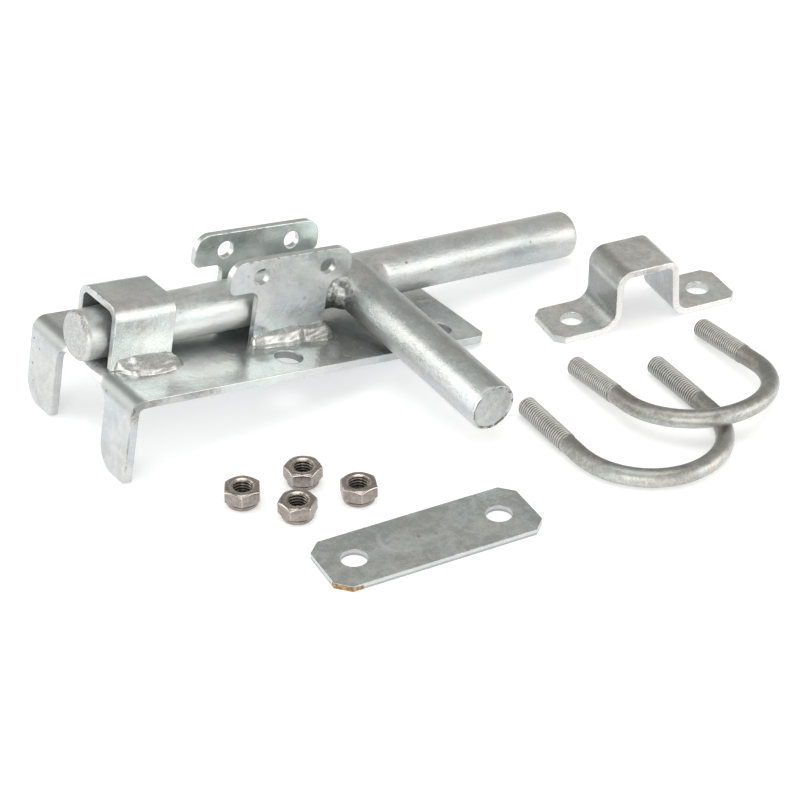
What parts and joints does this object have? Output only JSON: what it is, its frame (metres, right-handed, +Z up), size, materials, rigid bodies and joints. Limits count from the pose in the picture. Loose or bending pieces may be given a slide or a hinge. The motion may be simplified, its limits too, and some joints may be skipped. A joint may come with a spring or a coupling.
{
  "type": "slide latch kit",
  "caption": "Slide bolt latch kit for a tube gate: bent plate with guide and padlock ears, round bolt with side handle, hat keeper, backing strap, U-bolts and locking nuts.",
  "frame": {"origin": "middle of the kit's bounding box in plan, on the surface that it lies on", "axes": "+X along the latch in plan, from its tabs towards the end of the bolt, +Y across the latch, away from the handle, +Z up"},
  "size_m": [0.2776, 0.199, 0.0599],
  "materials": {
    "plate_zinc": "hot-dip galvanised, dull",
    "strap_zinc": "hot-dip galvanised, dull",
    "weld_zinc": "galvanised weld bead, bright",
    "bar_zinc": "hot-dip galvanised, satin",
    "keeper_zinc": "galvanised, dull",
    "backing_zinc": "galvanised, dull",
    "wire_zinc": "galvanised, satin",
    "nut_steel": "bare stainless steel, satin",
    "nylon": "plain nylon"
  },
  "bodies": {
    "frame": {"base_plate": "plate_zinc", "guide_strap": "strap_zinc", "front_ear": "strap_zinc", "rear_ear": "strap_zinc", "guide_weld_front": "weld_zinc", "guide_weld_rear": "weld_zinc", "ear_weld_front": "weld_zinc", "ear_weld_rear": "weld_zinc"},
    "bolt": {"bolt_rod": "bar_zinc"},
    "handle": {"handle_rod": "bar_zinc", "handle_weld": "weld_zinc"},
    "keeper": {"keeper": "keeper_zinc"},
    "backing_strap": {"backing_strap": "backing_zinc"},
    "ubolt_lower": {"ubolt_lower": "wire_zinc"},
    "ubolt_upper": {"ubolt_upper": "wire_zinc"},
    "nut_1": {"nut_1": "nut_steel", "nut_insert_1": "nylon"},
    "nut_2": {"nut_2": "nut_steel", "nut_insert_2": "nylon"},
    "nut_3": {"nut_3": "nut_steel", "nut_insert_3": "nylon"},
    "nut_4": {"nut_4": "nut_steel", "nut_insert_4": "nylon"}
  },
  "joints": [
    {"name": "bolt_slide", "type": "slide", "parent": "frame", "child": "bolt", "axis": [0.9891, 0, -0.1475], "range_m": [-0.008, 0.004]},
    {"name": "handle_turn", "type": "hinge", "parent": "bolt", "child": "handle", "pos_m": [-0.0108, 0.06244, 0.02643], "axis": [-0.9891, 0, 0.1475], "range_deg": [0, 95.2]},
    {"name": "keeper_lift", "type": "slide", "parent": "frame", "child": "keeper", "axis": [0, 0, 1], "range_m": [0, 0.06]},
    {"name": "backing_strap_lift", "type": "slide", "parent": "frame", "child": "backing_strap", "axis": [0, 0, 1], "range_m": [0, 0.06]},
    {"name": "ubolt_lower_lift", "type": "slide", "parent": "frame", "child": "ubolt_lower", "axis": [0, 0, 1], "range_m": [0, 0.06]},
    {"name": "ubolt_upper_lift", "type": "slide", "parent": "ubolt_lower", "child": "ubolt_upper", "axis": [0, 0, 1], "range_m": [0, 0.06]},
    {"name": "nut_1_lift", "type": "slide", "parent": "frame", "child": "nut_1", "axis": [0, 0, 1], "range_m": [0, 0.06]},
    {"name": "nut_2_lift", "type": "slide", "parent": "frame", "child": "nut_2", "axis": [0, 0, 1], "range_m": [0, 0.06]},
    {"name": "nut_3_lift", "type": "slide", "parent": "frame", "child": "nut_3", "axis": [0, 0, 1], "range_m": [0, 0.06]},
    {"name": "nut_4_lift", "type": "slide", "parent": "frame", "child": "nut_4", "axis": [0, 0, 1], "range_m": [0, 0.06]}
  ]
}
